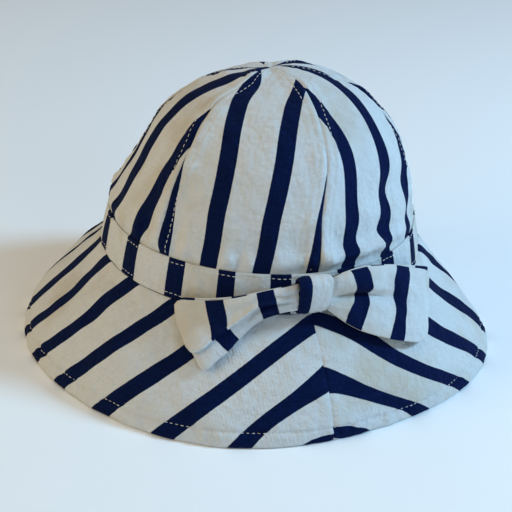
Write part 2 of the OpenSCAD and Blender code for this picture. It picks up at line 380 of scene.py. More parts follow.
# ---------------------------------------------------------------- the shape of the hat
BAND_R, BAND_Z, BAND_H, LEAN = 82.2, 49.0, 18.5, 3.6
BAND_TOP = BAND_Z + BAND_H
CROWN_D = [[-0.03, 0.15, -0.25, 0.0, 0.32, -0.09, -0.11],
    [0.77, 0.42, -0.8, -0.15, -0.27, -0.13, 0.2],
    [1.62, 0.39, -1.93, 0.21, 0.12, -0.54, 0.02],
    [-0.15, -0.46, 0.2, 0.21, 0.04, 0.2, 0.02],
    [-0.03, 0.12, 0.23, -0.41, 0.16, 0.12, -0.07],
    [-0.06, -0.07, 0.13, -0.07, 0.05, 0.08, -0.01],
    [-0.02, -0.03, 0.03, 0.01, 0.01, 0.02, -0.0],
    [-0.01, -0.01, 0.02, -0.01, 0.01, 0.01, -0.0],
    [0.0, -0.0, -0.01, 0.02, -0.01, -0.01, 0.0]]
BRIM_D = [[0.05, -0.71, -0.3, 0.04, -0.16, 0.05],
    [0.27, 0.85, 0.56, 0.01, -0.0, -0.03],
    [-0.14, -1.27, -0.21, 0.2, -0.2, 0.15],
    [-0.59, -0.57, -0.34, -0.0, 0.2, -0.04],
    [0.05, 0.71, 0.51, -0.11, -0.09, -0.12],
    [-0.65, -1.65, -0.93, -0.03, -0.02, 0.04],
    [0.14, 0.42, -0.06, -0.06, 0.12, -0.01],
    [0.1, 0.26, 0.3, 0.03, -0.05, 0.01],
    [-0.53, -1.2, -0.75, 0.0, 0.1, 0.03],
    [-0.15, -0.31, -0.01, 0.03, -0.03, 0.02],
    [-0.06, -0.14, -0.08, 0.0, 0.01, 0.0]]
BRIM_STRIPE_L = [[0.53, 5.54, 0.42, 0.45, 0.14],
    [145.62, 22.56, -0.18, 0.02, 0.28],
    [-7.59, -1.33, -1.33, -0.69, 0.49],
    [-4.63, -1.49, -0.42, 0.25, 0.58],
    [0.26, -0.53, 0.7, 0.93, 0.15],
    [0.35, 0.65, 0.08, 0.08, -0.11],
    [-0.7, 0.56, -1.22, -0.42, 0.55],
    [-0.39, -0.88, 0.49, 0.98, -0.16]]
BRIM_STRIPE_R = [[-11.2, -4.09, -0.26, -0.35, 0.09],
    [136.06, 25.11, 0.54, 0.54, -0.19],
    [5.52, 1.2, -0.34, -0.21, 0.1],
    [-5.09, -1.34, -0.49, 0.01, 0.26],
    [-0.2, 0.42, 1.07, -0.13, -0.5],
    [0.08, -0.26, -0.53, 0.36, 0.3],
    [0.32, 0.12, -0.67, -0.47, 0.16],
    [-0.32, 0.02, 0.81, 0.14, -0.16]]
CROWN_STRIPE = {"left": [-0.205, -4.687, -2.529, -1.652, -3.019, -0.035, 0.526, -0.108, 0.007], "front_left": [-3.101, -4.297, -2.648, -1.762, -0.888, -0.298, 0.575, 0.024, -0.001], "front_right": [-0.002, -3.097, 1.307, -0.462, 0.627, 0.207, -0.275, -0.029, -0.016]}
BOW_L = [[[-10.9, -84.2, 66.1],
    [-11.3, -85.5, 64.2],
    [-11.3, -86.4, 61.1],
    [-11.3, -86.8, 57.7],
    [-10.9, -86.7, 54.0]],
    [[-17.4, -83.8, 65.0],
    [-17.3, -85.2, 63.0],
    [-16.8, -85.7, 59.9],
    [-16.3, -86.2, 57.0],
    [-15.5, -86.0, 53.4]],
    [[-23.3, -83.0, 64.1],
    [-23.0, -84.6, 62.1],
    [-22.1, -84.7, 59.0],
    [-21.4, -85.6, 56.0],
    [-20.2, -85.3, 52.4]],
    [[-30.3, -81.2, 62.0],
    [-30.4, -82.9, 60.3],
    [-29.7, -82.8, 57.3],
    [-28.7, -83.9, 53.7],
    [-27.2, -83.4, 49.4]],
    [[-37.3, -78.7, 59.7],
    [-37.0, -81.3, 56.5],
    [-36.3, -81.9, 51.9],
    [-34.2, -82.5, 48.2],
    [-32.6, -83.3, 45.8]],
    [[-43.9, -75.4, 57.5],
    [-43.5, -79.1, 52.3],
    [-43.0, -81.1, 46.5],
    [-40.9, -82.8, 43.5],
    [-38.9, -84.8, 41.2]],
    [[-51.2, -70.6, 55.2],
    [-50.4, -76.1, 48.1],
    [-50.1, -81.6, 41.9],
    [-47.5, -84.4, 39.4],
    [-44.7, -87.1, 37.0]],
    [[-56.8, -65.6, 53.5],
    [-55.7, -73.4, 45.7],
    [-55.2, -82.5, 38.3],
    [-53.0, -86.0, 35.6],
    [-50.4, -88.4, 33.5]],
    [[-60.5, -61.2, 51.7],
    [-59.9, -69.1, 44.4],
    [-59.0, -80.8, 36.3],
    [-57.0, -85.6, 33.1],
    [-54.4, -89.3, 30.6]],
    [[-61.8, -58.8, 48.8],
    [-61.9, -66.7, 42.5],
    [-60.2, -76.8, 36.7],
    [-58.4, -82.8, 33.1],
    [-56.2, -88.4, 29.6]]]
BOW_R = [[[3.0, -84.6, 67.4],
    [2.6, -86.7, 64.7],
    [3.3, -86.4, 58.1],
    [2.4, -87.8, 56.4],
    [2.0, -87.5, 53.0]],
    [[7.9, -84.8, 68.9],
    [7.9, -87.5, 65.4],
    [9.7, -86.0, 57.8],
    [7.1, -88.8, 54.3],
    [5.9, -88.6, 49.9]],
    [[13.3, -84.4, 70.0],
    [14.7, -87.4, 66.1],
    [17.2, -85.4, 57.9],
    [12.5, -89.3, 52.5],
    [10.8, -90.5, 46.4]],
    [[22.0, -83.0, 70.4],
    [23.8, -86.6, 64.3],
    [24.3, -85.4, 57.3],
    [21.5, -89.0, 49.3],
    [17.7, -93.0, 42.7]],
    [[30.2, -81.3, 69.2],
    [31.1, -84.8, 62.5],
    [31.0, -85.2, 54.8],
    [27.9, -89.5, 46.6],
    [24.4, -94.5, 40.1]],
    [[39.0, -78.9, 67.2],
    [37.0, -82.9, 61.1],
    [38.3, -84.2, 52.5],
    [36.5, -88.7, 44.4],
    [31.7, -95.6, 37.7]],
    [[48.1, -75.3, 63.3],
    [46.0, -80.0, 56.8],
    [44.9, -82.8, 48.2],
    [42.1, -89.0, 41.7],
    [39.2, -95.5, 35.4]],
    [[56.6, -71.0, 59.3],
    [54.2, -76.0, 53.2],
    [52.6, -80.6, 45.5],
    [49.2, -88.0, 39.6],
    [44.8, -94.9, 33.7]],
    [[62.3, -66.5, 55.9],
    [60.3, -71.4, 49.5],
    [57.6, -78.5, 43.4],
    [54.3, -86.4, 38.0],
    [49.6, -93.3, 32.4]],
    [[66.6, -61.0, 52.2],
    [63.8, -68.0, 46.7],
    [60.4, -76.2, 41.7],
    [56.9, -84.4, 37.0],
    [53.5, -90.6, 31.9]]]

CF = [[0, .3], [.07, .8], [.213, 1.8], [.331, 5], [.4, 6.8], [.475, 8.5], [.575, 10.3], [.641, 12], [.769, 14.2], [.809, 15], [.872, 13], [1, 10]]
FL = [[0, -57.1], [.1, -57.7], [.2, -58.1], [.3, -57.9], [.45, -57.8], [.57, -59], [.706, -60.5], [.79, -54], [.9, -50], [1, -48]]
GORES = ["front_right", "right", "back_right", "back_left", "left", "front_left"]
OFFSET = {"left": 0.0, "front_left": .5, "front_right": -.80, "right": .15, "back_right": .355, "back_left": .30}


def table(r, z):
    """Radius, height, unit normal (radial, up) and length of a profile, evenly spaced."""
    L = np.concatenate([[0], np.cumsum(np.hypot(np.diff(r), np.diff(z)))])
    q = np.linspace(0, L[-1], 801)
    r, z = np.interp(q, L, r), np.interp(q, L, z)
    dr, dz = np.gradient(r), np.gradient(z)
    n = np.hypot(dr, dz)
    return dict(s=q / L[-1], r=r, z=z, dr=dr / n, dz=dz / n, L=L[-1])


def crown_table():
    P = np.array([(78.0, 67.5), (69.5, 104), (49, 140.6), (0, 140.6)])
    t = np.linspace(0, 1, 1601)[:, None]
    b = P[0] * (1 - t) ** 3 + 3 * P[1] * t * (1 - t) ** 2 + 3 * P[2] * t * t * (1 - t) + P[3] * t ** 3
    return table(b[:, 0], b[:, 1])


def brim_table():
    K = np.array([[0, 0], [.11, .12], [.39, .315], [.675, .53], [.89, .775], [.978, .94], [1, 1]], float)
    out = []
    m = len(K) - 1
    for i in range(m):
        a, b, c, d = K[max(i - 1, 0)], K[i], K[i + 1], K[min(i + 2, m)]
        for j in range(60):
            t = j / 60
            out.append(.5 * (2 * b + (c - a) * t + (2 * a - 5 * b + 4 * c - d) * t * t + (3 * b - a - 3 * c + d) * t ** 3))
    out = np.array(out + [K[-1]])
    return table(82.1 + (119.6 - 82.1) * out[:, 0], 48.8 * (1 - out[:, 1]))


CR, BM = crown_table(), brim_table()


def field(coef, theta, s):
    """The smooth offset field: harmonics round the hat, Chebyshev polynomials along the profile."""
    coef = np.array(coef)
    a = np.radians(theta)
    b = 2 * np.clip(s, 0, 1) - 1
    out = 0
    for m in range(coef.shape[0]):
        k = (m + 1) // 2
        f = 1.0 if m == 0 else (np.cos(k * a) if m % 2 else np.sin(k * a))
        out = out + f * ch.chebval(b, coef[m])
    return out


def polar(theta, r, z):
    a = np.radians(theta)
    return np.stack([r * np.sin(a), -r * np.cos(a), z], -1)


def curve(knots, s):
    k = np.array(knots, float)
    s = np.clip(s, 0, 1)
    lo, hi = np.clip(s - .03, 0, 1), np.clip(s + .03, 0, 1)
    f = lambda q: np.interp(q, k[:, 0], k[:, 1])
    return (f(lo) + f(s) * 2 + f(hi)) / 4


def seam(j, s):
    """Angle of crown seam j at height s. Seam 6 is seam 0 a full turn on."""
    s = np.asarray(s, float)
    if j in (0, 6):
        return curve(CF, s) + (360 if j else 0)
    if j == 1:
        return 60 + .6 * curve(CF, s)
    if j == 5:
        return 360 + curve(FL, s)
    return 0 * s + {2: 120, 3: 180, 4: 241}[j]


def around(theta, c, w):
    """1 at angle c, falling to 0 at w degrees from it."""
    d = np.abs((theta - c + 180) % 360 - 180)
    return 1 - smooth01(d, 0, w)


wave_a = Waves(11, 14, 24, 60, 3)
wave_b = Waves(12, 16, 9, 22, 3)
wave_c = Waves(13, 12, 7, 15, 1)
wave_d = Waves(14, 12, 12, 30, 1)


def crown_relief(theta, h, P):
    """Soft creases of the crown cloth, in mm along the normal."""
    arc = np.radians(theta) * 80
    low = np.exp(-np.clip(h, 0, None) / 7.0)
    roll = np.exp(-((h - 5.0) / 3.4) ** 2) * (.6 + .5 * wave_d(arc)) * 1.55
    pinch = around(theta, 24, 30) * (1.5 * np.exp(-((h - 6.5) / 3.0) ** 2) - 1.0 * np.exp(-((h - 1.6) / 2.0) ** 2))
    fold = -1.9 * around(theta, 25, 15) * np.exp(-((h - 12.5) / 4.2) ** 2) + 1.1 * around(theta, 22, 18) * np.exp(-((h - 22) / 5.5) ** 2)
    fold = fold - 2.6 * around(theta, 43, 18) * np.exp(-((h - 29) / 6.0) ** 2) + 1.5 * around(theta, 45, 17) * np.exp(-((h - 16) / 6.0) ** 2)
    fold = fold * 1.0 - .9 * around(theta, -52, 13) * np.exp(-((h - 21) / 9.0) ** 2) - .8 * around(theta, -14, 16) * np.exp(-((h - 14) / 8.0) ** 2)
    gather = .75 * wave_c(arc + .22 * h) * np.exp(-((h - 3.5) / 6.0) ** 2) + .95 * wave_d(arc + .30 * h + 90) * np.exp(-((h - 9) / 11.0) ** 2)
    body = .72 * wave_a(P[..., 0], P[..., 1], P[..., 2]) + .26 * wave_b(P[..., 0], P[..., 1], P[..., 2])
    return (roll + pinch + gather) * smooth01(h, 0, 2.5) * (1 - smooth01(h, 22, 34)) + fold * smooth01(h, 0, 4) + body * smooth01(h, 1, 10) + 0 * low


def seam_relief(d, f, ridge=0.0):
    """Across a crown seam, d mm from it: the join, the pressed allowance and the dent of the stitching."""
    e = d / np.maximum(f, .05)
    a = np.clip(f * 1.25, 0, 1)
    return a * (-.62 * np.exp(-(e / .75) ** 2) + .40 * (1 - smooth01(e, 5.0, 7.4)) - .20 * np.exp(-((e - 4.0) / .75) ** 2)) + a * ridge * np.exp(-(e / 6.5) ** 2)


seam_wave = Waves(15, 14, 3.2, 7.5, 1)
seam_wave2 = Waves(16, 10, 12, 30, 1)
RIDGE = {0: .95, 1: .5, 2: .4, 3: .4, 4: .5, 5: 1.3, 6: .95}


def crown_pt(theta, h, depth=0.0, extra=0.0):
    """A point h mm up the crown from the top of the band, or down behind the band where h is negative."""
    theta, h = np.broadcast_arrays(np.asarray(theta, float), np.asarray(h, float))
    s = np.clip(h / CR["L"], 0, 1)
    r0, z0 = np.interp(s, CR["s"], CR["r"]), np.interp(s, CR["s"], CR["z"])
    nr, nz = np.interp(s, CR["s"], CR["dz"]), -np.interp(s, CR["s"], CR["dr"])
    w = smooth01(h, 0, 3.5)
    D = field(CROWN_D, theta, s) * w - .5 * (1 - w)
    base = polar(theta, r0, z0)
    D = D + crown_relief(theta, h, base) * (h > 0) + extra * smooth01(h, 0, 3) - depth
    r, z = r0 + D * nr, z0 + D * nz
    zb = BAND_TOP + np.minimum(h, 0) * .98
    rb = BAND_R - LEAN * (zb - BAND_Z) / BAND_H - 1.1 - depth
    r, z = np.where(h < 0, rb, r), np.where(h < 0, zb, z)
    return polar(theta, np.maximum(r, .02), z), np.stack([nr * np.sin(np.radians(theta)), -nr * np.cos(np.radians(theta)), nz], -1)


BLOCK = np.array([0, .28, .62, 1.05, 1.6, 2.3, 3.0, 3.5, 3.9, 4.3, 4.8, 5.5, 6.3, 7.2, 8.4])


def gore_grid(k, hs, mid=26):
    """Angles and seam distances of gore k's columns at each height."""
    s = np.clip(hs / CR["L"], 0, 1)
    lo, hi = seam(k, s), seam(k + 1, s)
    r0 = np.interp(s, CR["s"], CR["r"])
    r0 = np.maximum(r0, .3)
    W = r0 * np.radians(hi - lo)
    f = np.minimum(1, .5 * W / (BLOCK[-1] * 1.5))
    left = BLOCK[None, :] * f[:, None]
    m = np.linspace(0, 1, mid)[1:-1][None, :]
    midd = left[:, -1:] + m * (W[:, None] - 2 * left[:, -1:])
    x = np.concatenate([left, midd, W[:, None] - left[:, ::-1]], 1)
    th = lo[:, None] + np.degrees(x / r0[:, None])
    return th, np.minimum(x, W[:, None] - x), f[:, None], (x < W[:, None] / 2), (lo + hi)[:, None] / 2


def crown_rows(lo=-17.0, step=1.55):
    L = CR["L"]
    up = np.arange(0, L - 14, step)
    top = L - 14 + (14 - .35) * (1 - (1 - np.linspace(0, 1, 16)) ** 1.25)
    tail = np.array([lo, lo * .75, lo * .5, lo * .3, -2.4, -1.0])
    return np.concatenate([tail, up, top])


def gore_stripe(name, th, thc, P, s):
    r = np.hypot(P[..., 0], P[..., 1])
    x = r * np.radians(th - thc)
    u = x
    h = s * CR["L"]
    if name == "front_right":
        x = x + 1.5 * around(th, 25, 15) * np.exp(-((h - 12.5) / 4.5) ** 2) + 1.6 * around(th, 43, 18) * np.exp(-((h - 29) / 6) ** 2)
    if name in CROWN_STRIPE:
        c = np.array(CROWN_STRIPE[name]).ravel()
        b = 2 * np.clip(s, 0, 1) - 1
        t = [ch.chebval(b, [0] * n + [1]) for n in range(4)]
        cor = sum(c[n] * t[n] for n in range(4)) + (x / 30) * sum(c[4 + n] * t[n] for n in range(3)) + (x / 30) ** 2 * sum(c[7 + n] * t[n] for n in range(2))
        u = x + cor * np.clip(r / 20, 0, 1)
    if name == "left":
        u = u - 3.6 * smooth01(-x, 10, 22)
    if name == "back_left":
        u = u - 3.0 + 9.0 * np.clip(1 - r / 26, 0, 1)
    return u - OFFSET[name] * PITCH


def make_gores(mat, lining):
    out = {}
    hs = crown_rows()
    for k, name in enumerate(GORES):
        th, d, f, first, thc = gore_grid(k, hs)
        H = np.broadcast_to(hs[:, None], th.shape)
        ridge = np.where(first, RIDGE[k], RIDGE[k + 1])
        sid = np.where(first, 37.0 * k, 37.0 * (k + 1) + 411)
        pk = np.clip(f * 1.2, 0, 1) * (.24 * seam_wave(H + sid) * np.exp(-((d - 3.2) / 2.6) ** 2) + .30 * seam_wave2(H + sid) * np.exp(-(d / 9) ** 2))
        ex = seam_relief(d, f, ridge) + pk * smooth01(d, .2, 1.5)
        top, _ = crown_pt(th, H, 0, ex)
        soft = ridge * np.clip(f * 1.25, 0, 1) * np.exp(-(d / np.maximum(f, .05) / 6.5) ** 2)
        low, _ = crown_pt(th, H, .8 + .38 * (1 - smooth01(d, 5.6, 6.2)), soft)
        s = H / CR["L"]
        u = gore_stripe(name, th, thc, top, s)
        uv = np.stack([u, H + 0 * u], -1)
        g = shell("crown_gore_" + name, top.transpose(1, 0, 2), low.transpose(1, 0, 2), uv.transpose(1, 0, 2), mat)
        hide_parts("crown_gore_" + name)
        out["crown_gore_" + name] = g
        # lining panel
        hl = crown_rows(-16.6, 3.2)
        th, d, f, first, thc = gore_grid(k, hl, 14)
        H = np.broadcast_to(hl[:, None], th.shape)
        ridge = np.where(first, RIDGE[k], RIDGE[k + 1])
        soft = ridge * np.clip(f * 1.25, 0, 1) * np.exp(-(d / np.maximum(f, .05) / 6.5) ** 2)
        dip = .16 * np.exp(-(d / .8) ** 2)
        a, _ = crown_pt(th, H, 1.85, soft)
        b, _ = crown_pt(th, H, 2.35 - dip, soft)
        u = 75 * np.radians(th - thc) * np.sqrt(np.clip(1 - (s_ := np.clip(H / CR["L"], 0, 1)) ** 2, 0, 1))
        uv = np.stack([u, H], -1)
        l = shell("lining_gore_" + name, a.transpose(1, 0, 2), b.transpose(1, 0, 2), uv.transpose(1, 0, 2), lining)
        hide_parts("lining_gore_" + name)
        out["lining_gore_" + name] = l
    return out


# ---- brim
hem_wave = Waves(21, 14, 4.5, 9, 1)
hem_wave2 = Waves(22, 10, 14, 34, 1)
brim_wave = Waves(23, 14, 28, 70, 3)
brim_wave2 = Waves(24, 16, 10, 22, 3)


def brim_relief(theta, e, P, seams):
    """Soft relief of the brim's upper face. e is the distance from the edge."""
    arc = np.radians(theta) * 117
    hem = (1 - smooth01(e, 7.0, 9.5))
    dent = -.60 * np.exp(-((e - 7.5) / .9) ** 2)
    roll = .30 * np.exp(-((e - 4.2) / 2.4) ** 2)
    rip = .50 * hem_wave(arc + .55 * e) * np.exp(-((e - 6.0) / 3.2) ** 2) + .26 * hem_wave2(arc) * np.exp(-((e - 5.0) / 6) ** 2)
    body = .75 * brim_wave(P[..., 0], P[..., 1], P[..., 2]) + .25 * brim_wave2(P[..., 0], P[..., 1], P[..., 2])
    return dent + roll + rip + body * smooth01(e, 2, 12) * (1 - smooth01(e, 48, 60)) + 0 * hem


def brim_pt(theta, s, depth=0.0, relief=True, extra=0.0):
    theta, s = np.broadcast_arrays(np.asarray(theta, float), np.asarray(s, float))
    r0, z0 = np.interp(s, BM["s"], BM["r"]), np.interp(s, BM["s"], BM["z"])
    Nr, Nz = -np.interp(s, BM["s"], BM["dz"]), np.interp(s, BM["s"], BM["dr"])
    W = np.clip((1 - s) / .25, 0, 1)
    h = s * BM["L"]
    w = smooth01(h, 0, 3.0)
    D = field(BRIM_D, theta, s) * w - .55 * (1 - w)
    r, z = r0 + D * (Nr * W + (1 - W)), z0 + D * Nz * W
    q = -depth + extra
    if relief:
        q = q + brim_relief(theta, (1 - s) * BM["L"], polar(theta, r, z), None) * w
    r, z = r + q * Nr, z + q * Nz
    return r, z, Nr, Nz


def brim_seam_front(s):
    return -2 + 1.2 * s


def brim_stripe(side, theta, s):
    if side == "left":
        lo, hi, c = -182.0, -2.0, BRIM_STRIPE_L
    else:
        lo, hi, c = -2.0, 180.0, BRIM_STRIPE_R
    w = ch.chebval2d((2 * theta - (lo + hi)) / (hi - lo), 2 * s - 1, np.array(c))
    near = 1 - smooth01(np.abs(theta), 5, 26)
    w = w + (4.4 if side == "left" else -4.8) * near * smooth01(s, .58, 1)
    return w - PITCH / 2


def seam_spaced(lo, hi, n, r=105.0):
    """Angles from lo to hi, closer together at both ends."""
    e = np.degrees(np.array([0, .3, .8, 1.5, 2.5, 4.0, 6.0]) / r)
    return np.concatenate([lo + e, np.linspace(lo + e[-1], hi - e[-1], n)[1:-1], hi - e[::-1]])


def brim_layer(name, side, d_out, d_in, mat, stop, hem, n_th=150, n_s=44, stripe=True, lo=None, hi=None, relief_in=False):
    """Half of a brim layer between two depths. With hem set, its edge turns in flat on the table."""
    th0 = seam_spaced(-180, 0, n_th) if side == "left" else seam_spaced(0, 180, n_th)
    if side == "all":
        th0 = np.linspace(-180, 180, n_th)
    mid, half = (d_out + d_in) / 2, (d_in - d_out) / 2
    # where the middle of the cloth meets the height at which it stops or turns
    ss = np.linspace(.93, 1, 60)
    s_end = []
    for t in th0:
        r, z, _, _ = brim_pt(t, ss, mid, True)
        s_end.append(np.interp(-stop, -z, ss))
    s_end = np.array(s_end)
    a = np.concatenate([[0, .006, .013, .022], np.linspace(.035, .84, n_s - 18), np.linspace(.852, 1, 16)])
    S = a[None, :] * s_end[:, None]
    TH = np.broadcast_to(th0[:, None], S.shape)
    if side == "left":
        TH = TH + np.where(TH > -90, brim_seam_front(S), 0) * smooth01(TH, -14, 0)
    elif side == "right":
        TH = TH + brim_seam_front(S) * (1 - smooth01(TH, 0, 14))
    dist = np.minimum(np.abs(TH - brim_seam_front(S)), np.abs(np.abs(TH) - 180)) if side != "all" else 90 + 0 * S
    dist = dist * np.pi / 180 * np.interp(S, BM["s"], BM["r"])
    ex = -.45 * np.exp(-(dist / .9) ** 2) + .22 * (1 - smooth01(dist, 4.5, 8)) if side != "all" else 0 * S
    if d_out > .5:
        ex = 0 * ex
    r, z, _, _ = brim_pt(TH, S, mid, True, ex)
    v = S * BM["L"]
    if hem:
        rho = 1.05
        tr, tz = r[:, -1] - r[:, -2], z[:, -1] - z[:, -2]
        n = np.hypot(tr, tz); tr, tz = tr / n, tz / n
        a0 = np.arctan2(tz, tr)
        Or, Oz = r[:, -1] + rho * tz, z[:, -1] - rho * tr
        arc = []
        for q in np.linspace(0, 1, 9)[1:]:
            al = a0 + (-np.pi - a0) * q
            arc.append((Or - rho * np.sin(al), Oz + rho * np.cos(al)))
        ar = np.stack([p[0] for p in arc], 1); az = np.stack([p[1] for p in arc], 1)
        low = az[:, -1:]
        fl = np.array([.7, 1.5, 2.3])
        fr, fz = ar[:, -1:] - fl[None, :], low + 0 * fl[None, :]
        r = np.concatenate([r, ar, fr], 1); z = np.concatenate([z, az, fz], 1)
        v = np.concatenate([v, v[:, -1:] + np.linspace(0, 1, 9)[1:][None, :] * 1.9, v[:, -1:] + 1.9 + fl[None, :]], 1)
        TH = np.concatenate([TH] + [TH[:, -1:]] * 11, 1)
        # the turned hem lies on the table
        z = z + np.maximum(half + .004 - z[:, -1:], -9) * np.clip((3.0 - z) / 2.6, 0, 1)
    dr, dz = np.gradient(r, axis=1), np.gradient(z, axis=1)
    n = np.hypot(dr, dz); nr, nz = -dz / n, dr / n
    S2 = np.clip(v / BM["L"], 0, 1.02)
    P1, P2 = polar(TH, r + half * nr, z + half * nz), polar(TH, r - half * nr, z - half * nz)
    u = brim_stripe(side, TH, S2) if stripe else np.radians(TH) * 100
    return shell(name, P1, P2, np.stack([u, v], -1), mat)


def keep(out, o):
    n = o.name.replace("_sewn", "")
    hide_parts(n)
    out[n] = o


def make_brim(mat, lining, felt):
    out = {}
    for side in ("left", "right"):
        o = brim_layer("brim_upper_" + side, side, 0, .8, mat, 1.72, True)
        keep(out, o)
        o = brim_layer("brim_under_" + side, side, 1.6, 2.4, lining, 1.45, False, n_th=110, n_s=36, stripe=False)
        keep(out, o)
    o = brim_layer("brim_interlining", "all", .9, 1.4, felt, 3.2, False, n_th=181, n_s=30, stripe=False)
    keep(out, o)
    return out


# ---- band, sweatband, label
band_wave = Waves(31, 12, 8, 18, 1)
band_wave2 = Waves(32, 8, 30, 70, 1)
NAVY_AT = [-94, -70.1, -48.8, -30.7, -13.3, 11.3, 29.8, 52.5]


def band_u(theta):
    """Stripe coordinate round the band, theta from -180 to 180."""
    back = [-167.5, -149.2, -130.9, -112.5]
    right = [70.8, 89.1, 107.4, 125.7, 144.0, 162.3]
    k = [-186] + back + NAVY_AT + right + [180.6]
    n = np.arange(len(k), dtype=float)
    return np.interp(theta, k, n) * PITCH


def band_r(theta, z):
    """Outer radius of the band."""
    t = (z - BAND_Z) / BAND_H
    arc = np.radians(theta) * 80.5
    w = .22 * band_wave(arc + .35 * z) + .35 * band_wave2(arc)
    q = z - BAND_Z
    puff = .26 * np.sin(np.pi * np.clip((q - 2) / (BAND_H - 4), 0, 1)) - .16 * np.exp(-((q - 2) / .8) ** 2) - .16 * np.exp(-((q - BAND_H + 2) / .8) ** 2)
    ripple = .16 * band_wave(arc * 1.7 + 40) * (np.exp(-((q - 1.6) / 2.2) ** 2) + np.exp(-((q - BAND_H + 1.6) / 2.2) ** 2))
    return BAND_R - LEAN * t + (w * 1.0 + puff + ripple) * smooth01(np.abs(t - .5), .62, .40) + .05


def make_band(mat, lining, label):
    out = {}
    th = np.linspace(-180, 180, 301)
    zo = np.array([.0, .12, .4, 1.0, 1.6, 2.0, 2.5, 3.4, 5, 7, 9.25, 11.5, 13.5, 15.1, 16, 16.5, 16.9, 17.5, 18.1, 18.38, 18.5])
    zo = zo + BAND_Z
    q = np.minimum(zo - BAND_Z, BAND_TOP - zo)
    rnd = .55 * (1 - np.sqrt(np.clip(1 - (1 - np.clip(q / .5, 0, 1)) ** 2, 0, 1)))
    R = band_r(th[:, None], zo[None, :]) - rnd[None, :]
    zi = np.array([18.36, 18.1, 17.0, 13, 9, 5, 1.5, .4, .14]) + BAND_Z
    q = np.minimum(zi - BAND_Z, BAND_TOP - zi)
    rin = .45 * (1 - np.sqrt(np.clip(1 - (1 - np.clip(q / .5, 0, 1)) ** 2, 0, 1)))
    Ri = (BAND_R - LEAN * (zi - BAND_Z) / BAND_H - 1.0 + rin)[None, :] + 0 * th[:, None]
    r = np.concatenate([R, Ri], 1)
    z = np.concatenate([zo, zi])[None, :] + 0 * th[:, None]
    P = polar(th[:, None], r, z)[:-1]
    v = np.concatenate([zo, zi + 19, [BAND_Z + 40]])
    u = band_u(th)
    uv = np.stack([u[:, None] + 0 * v[None, :], v[None, :] + 0 * u[:, None]], -1)
    o = tube_grid("hat_band", P[:, ::-1], uv[:, ::-1], mat)
    keep(out, o)

    th = np.linspace(-180, 180, 181)
    hs = np.array([-20.4, -20.1, -19.3, -18.3, -17.0, -15, -12, -9, -6, -3, -1, .5, 2, 4, 6, 7.2, 7.7, 8.0])
    q = np.minimum(hs - hs[0], hs[-1] - hs)
    half = .38 * np.sqrt(np.clip(1 - (1 - np.clip(q / .4, 0, 1)) ** 2, .02, 1))
    T, H = np.meshgrid(th, hs, indexing="ij")
    flare = .9 * smooth01(-H, 18.2, 20.4)
    a, _ = crown_pt(T, H, 2.91 - flare - half[None, :], .0)
    b, _ = crown_pt(T, H, 2.91 - flare + half[None, :], .0)
    P = np.concatenate([a, b[:, ::-1]], 1)[:-1]
    v = np.concatenate([hs, 40 - hs[::-1], [60]])
    u = np.radians(th) * 78
    uv = np.stack([u[:, None] + 0 * v[None, :], v[None, :] + 0 * u[:, None]], -1)
    o = tube_grid("sweatband", P[:, ::-1], uv[:, ::-1], lining)
    keep(out, o)

    th = np.linspace(174, 186, 17)
    hs = -14.2 + np.concatenate([[0, .15, .4], np.linspace(1.2, 8.8, 8), [9.6, 9.85, 10]])
    T, H = np.meshgrid(th, hs, indexing="ij")
    bow = .18 * np.sin(np.pi * (T - 174) / 12)
    a, _ = crown_pt(T, H, 3.36 + bow); b, _ = crown_pt(T, H, 3.66 + bow)
    uv = np.stack([np.radians(T) * 76, H], -1)
    o = shell("size_label", a, b, uv, label)
    keep(out, o)
    return out


# ---- stitching
def make_stitches(mat):
    out = {}
    L = CR["L"]
    paths = []
    for k in range(6):
        for side in (-1, 1):
            h = np.arange(.8, L - 9.5, .8)
            s = h / L
            r0 = np.interp(s, CR["s"], CR["r"])
            W = np.minimum(r0 * np.radians(seam(k + 1, s) - seam(k, s)), r0 * np.radians(seam(k if k else 6, s) - seam((k - 1) % 6, s)))
            f = np.minimum(1, .5 * W / (BLOCK[-1] * 1.5))
            th = seam(k, s) + side * np.degrees(4.0 * f / r0)
            sid = 37.0 * k if side > 0 else 37.0 * (k or 6) + 411
            pk = np.clip(f * 1.2, 0, 1) * (.24 * seam_wave(h + sid) * np.exp(-((4.0 * f - 3.2) / 2.6) ** 2) + .30 * seam_wave2(h + sid) * np.exp(-(4.0 * f / 9) ** 2))
            P, N = crown_pt(th, h, 0, seam_relief(4.0 * f, f, RIDGE[k]) + pk * smooth01(4.0 * f, .2, 1.5))
            paths.append((P, N))
    out["crown_topstitch"] = stitches("crown_topstitch", paths, mat, seed=5)
    paths = []
    for z in (BAND_Z + 2, BAND_TOP - 2):
        th = np.linspace(-179.5, 179.5, 720)
        r = band_r(th, z + 0 * th)
        a = np.radians(th)
        N = np.stack([np.sin(a), -np.cos(a), .19 + 0 * a], -1)
        paths.append((polar(th, r, z + 0 * th), N))
    out["band_topstitch"] = stitches("band_topstitch", paths, mat, seed=6)
    th = np.linspace(-179.6, 179.6, 900)
    s = 1 - 7.5 / BM["L"] + 0 * th
    r, z, nr, nz = brim_pt(th, s)
    a = np.radians(th)
    out["brim_topstitch"] = stitches("brim_topstitch", [(polar(th, r, z), np.stack([nr * np.sin(a), -nr * np.cos(a), nz], -1))], mat, seed=7)
    for n, o in out.items():
        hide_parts(n)
    return out


# ---------------------------------------------------------------- the bow
BOW_UL = np.array([0, 6, 11, 19.1, 27.5, 35.8, 43.9, 50.5, 55.5, 58.5])
BOW_UR = np.array([0, 5, 10.5, 18.6, 26.5, 35.3, 43.4, 50.5, 55, 57.5])
NAVY_UL = ((11, 19.1), (35.8, 43.9))
NAVY_UR = ((10.5, 18.6), (35.3, 43.4))
loop_wave = Waves(41, 14, 7, 16, 2)
loop_wave2 = Waves(42, 12, 18, 40, 2)


